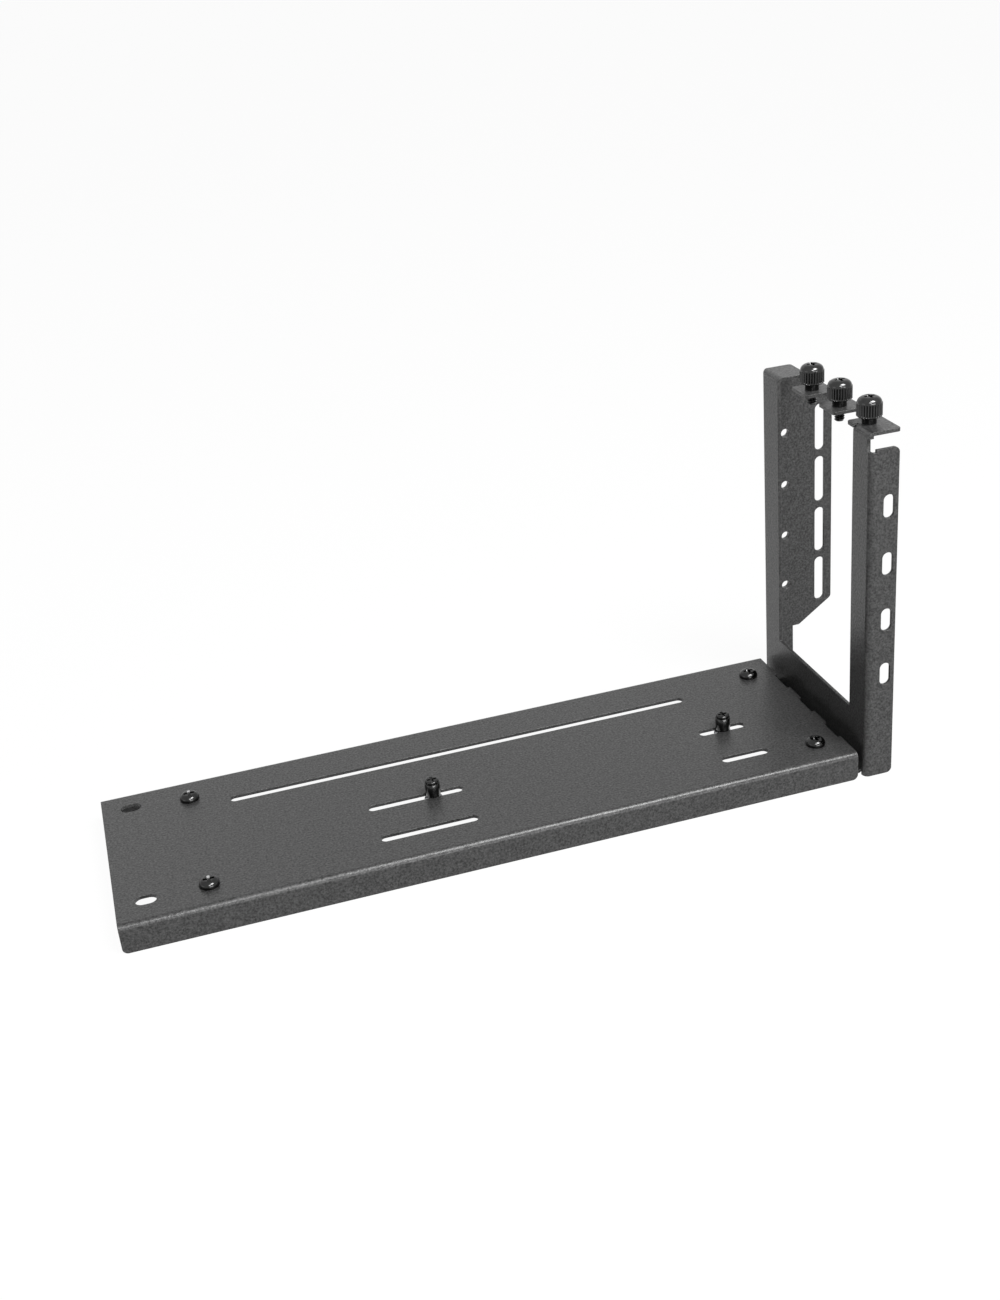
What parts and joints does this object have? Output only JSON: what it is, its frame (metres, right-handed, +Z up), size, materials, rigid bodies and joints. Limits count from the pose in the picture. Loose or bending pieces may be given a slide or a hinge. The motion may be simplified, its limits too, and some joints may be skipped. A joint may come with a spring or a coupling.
{
  "type": "graphics card support bracket",
  "caption": "Low folded steel plate with an open upright for expansion cards: comb top with thumbscrews, slotted side flanges and sliding riser posts.",
  "frame": {"origin": "centre of the bounding box, on the surface that the bracket stands on", "axes": "+X along the plate towards the upright, +Y towards the upright's wide back panel, +Z up"},
  "size_m": [0.2844, 0.083, 0.1347],
  "materials": {
    "powder_coat": "fine textured matte black powder coat",
    "black_nickel": "glossy black plating",
    "zinc_steel": "bright zinc plating"
  },
  "bodies": {
    "frame": {"base_plate": "powder_coat", "upright_bracket": "powder_coat", "underside_strap": "powder_coat", "plate_screw_front_left": "black_nickel", "plate_screw_back_left": "black_nickel", "plate_screw_front_right": "black_nickel", "plate_screw_back_right": "black_nickel", "weld_nut_front": "zinc_steel", "weld_nut_back": "zinc_steel", "foot_standoff_front": "zinc_steel", "foot_standoff_back": "zinc_steel"},
    "thumbscrew_front": {"thumb_screw_front": "black_nickel"},
    "thumbscrew_middle": {"thumb_screw_middle": "black_nickel"},
    "thumbscrew_back": {"thumb_screw_back": "black_nickel"},
    "post_left": {"riser_post_left": "black_nickel", "post_screw_left": "black_nickel", "post_washer_left": "zinc_steel", "post_nut_left": "zinc_steel"},
    "post_right": {"riser_post_right": "black_nickel", "post_screw_right": "black_nickel", "post_washer_right": "zinc_steel", "post_nut_right": "zinc_steel"}
  },
  "joints": [
    {"name": "thumbscrew_front_turn", "type": "hinge", "parent": "frame", "child": "thumbscrew_front", "pos_m": [0.1198, -0.03075, 0.1258], "axis": [0, 0, 1], "continuous": true},
    {"name": "thumbscrew_middle_turn", "type": "hinge", "parent": "frame", "child": "thumbscrew_middle", "pos_m": [0.1198, -0.01043, 0.1258], "axis": [0, 0, 1], "continuous": true},
    {"name": "thumbscrew_back_turn", "type": "hinge", "parent": "frame", "child": "thumbscrew_back", "pos_m": [0.1198, 0.00989, 0.1258], "axis": [0, 0, 1], "continuous": true},
    {"name": "post_left_slide", "type": "slide", "parent": "frame", "child": "post_left", "axis": [1, 0, 0], "range_m": [-0.02175, 0.00915]},
    {"name": "post_right_slide", "type": "slide", "parent": "frame", "child": "post_right", "axis": [1, 0, 0], "range_m": [-0.00775, 0.00675]}
  ]
}
